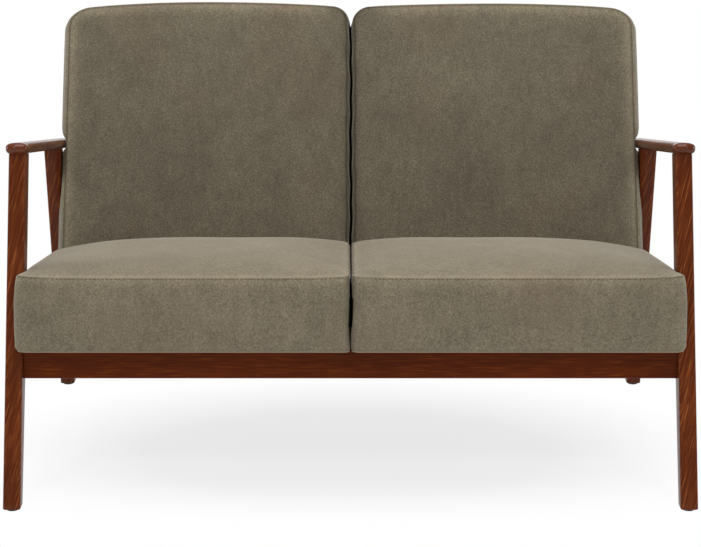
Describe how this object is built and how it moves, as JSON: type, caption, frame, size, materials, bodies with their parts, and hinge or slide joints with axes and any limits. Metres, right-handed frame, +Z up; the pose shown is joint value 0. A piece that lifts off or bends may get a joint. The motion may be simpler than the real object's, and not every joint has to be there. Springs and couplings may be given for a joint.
{
  "type": "high back settee",
  "caption": "High back settee with box seat cushions and reclined back cushions on a raked, lacquered wood frame with slim sloping armrests.",
  "frame": {"origin": "middle of the overall footprint, at floor level", "axes": "+X to the sitter's left hand, which is the right side of the picture; +Y to the rear; +Z up. The front faces -Y."},
  "size_m": [1.2646, 0.7864, 0.8351],
  "materials": {
    "lacquered_beech": "beech stained reddish brown under a satin lacquer",
    "hidden_beech": "planed, unfinished",
    "plywood": "sanded, unfinished",
    "velour": "taupe velour with a short mottled nap",
    "foam": "cut upholstery foam",
    "webbing": "woven elastic webbing",
    "dust_cloth": "thin non-woven cloth",
    "steel": "zinc plated",
    "glide": "moulded"
  },
  "bodies": {
    "root": {"right_front_leg": "lacquered_beech", "left_front_leg": "lacquered_beech", "right_rear_leg": "lacquered_beech", "left_rear_leg": "lacquered_beech", "right_armrest": "lacquered_beech", "left_armrest": "lacquered_beech", "right_side_rail": "lacquered_beech", "left_side_rail": "lacquered_beech", "front_rail": "lacquered_beech", "rear_rail": "lacquered_beech", "centre_bearer": "lacquered_beech", "right_front_glide": "glide", "left_front_glide": "glide", "right_rear_glide": "glide", "left_rear_glide": "glide", "right_seat_cover": "velour", "left_seat_cover": "velour", "right_seat_foam": "foam", "left_seat_foam": "foam", "right_seat_frame_front": "hidden_beech", "left_seat_frame_front": "hidden_beech", "right_seat_frame_rear": "hidden_beech", "left_seat_frame_rear": "hidden_beech", "right_seat_frame_inner": "hidden_beech", "left_seat_frame_inner": "hidden_beech", "right_seat_frame_outer": "hidden_beech", "left_seat_frame_outer": "hidden_beech", "right_seat_strap_1": "webbing", "left_seat_strap_1": "webbing", "right_seat_strap_2": "webbing", "left_seat_strap_2": "webbing", "right_seat_strap_3": "webbing", "left_seat_strap_3": "webbing", "right_seat_dust_cloth": "dust_cloth", "left_seat_dust_cloth": "dust_cloth", "right_back_cover": "velour", "left_back_cover": "velour", "right_back_foam": "foam", "left_back_foam": "foam", "right_back_board": "plywood", "left_back_board": "plywood", "right_back_outer_batten": "hidden_beech", "left_back_outer_batten": "hidden_beech", "right_back_inner_batten": "hidden_beech", "left_back_inner_batten": "hidden_beech", "right_back_rear_panel": "velour", "left_back_rear_panel": "velour", "back_link_bolt": "steel", "right_front_rail_bolt": "steel", "left_front_rail_bolt": "steel", "right_rear_rail_bolt": "steel", "left_rear_rail_bolt": "steel", "right_back_leg_bolt": "steel", "left_back_leg_bolt": "steel", "right_back_arm_bolt": "steel", "left_back_arm_bolt": "steel", "right_back_bracket": "steel", "left_back_bracket": "steel"}
  },
  "joints": []
}
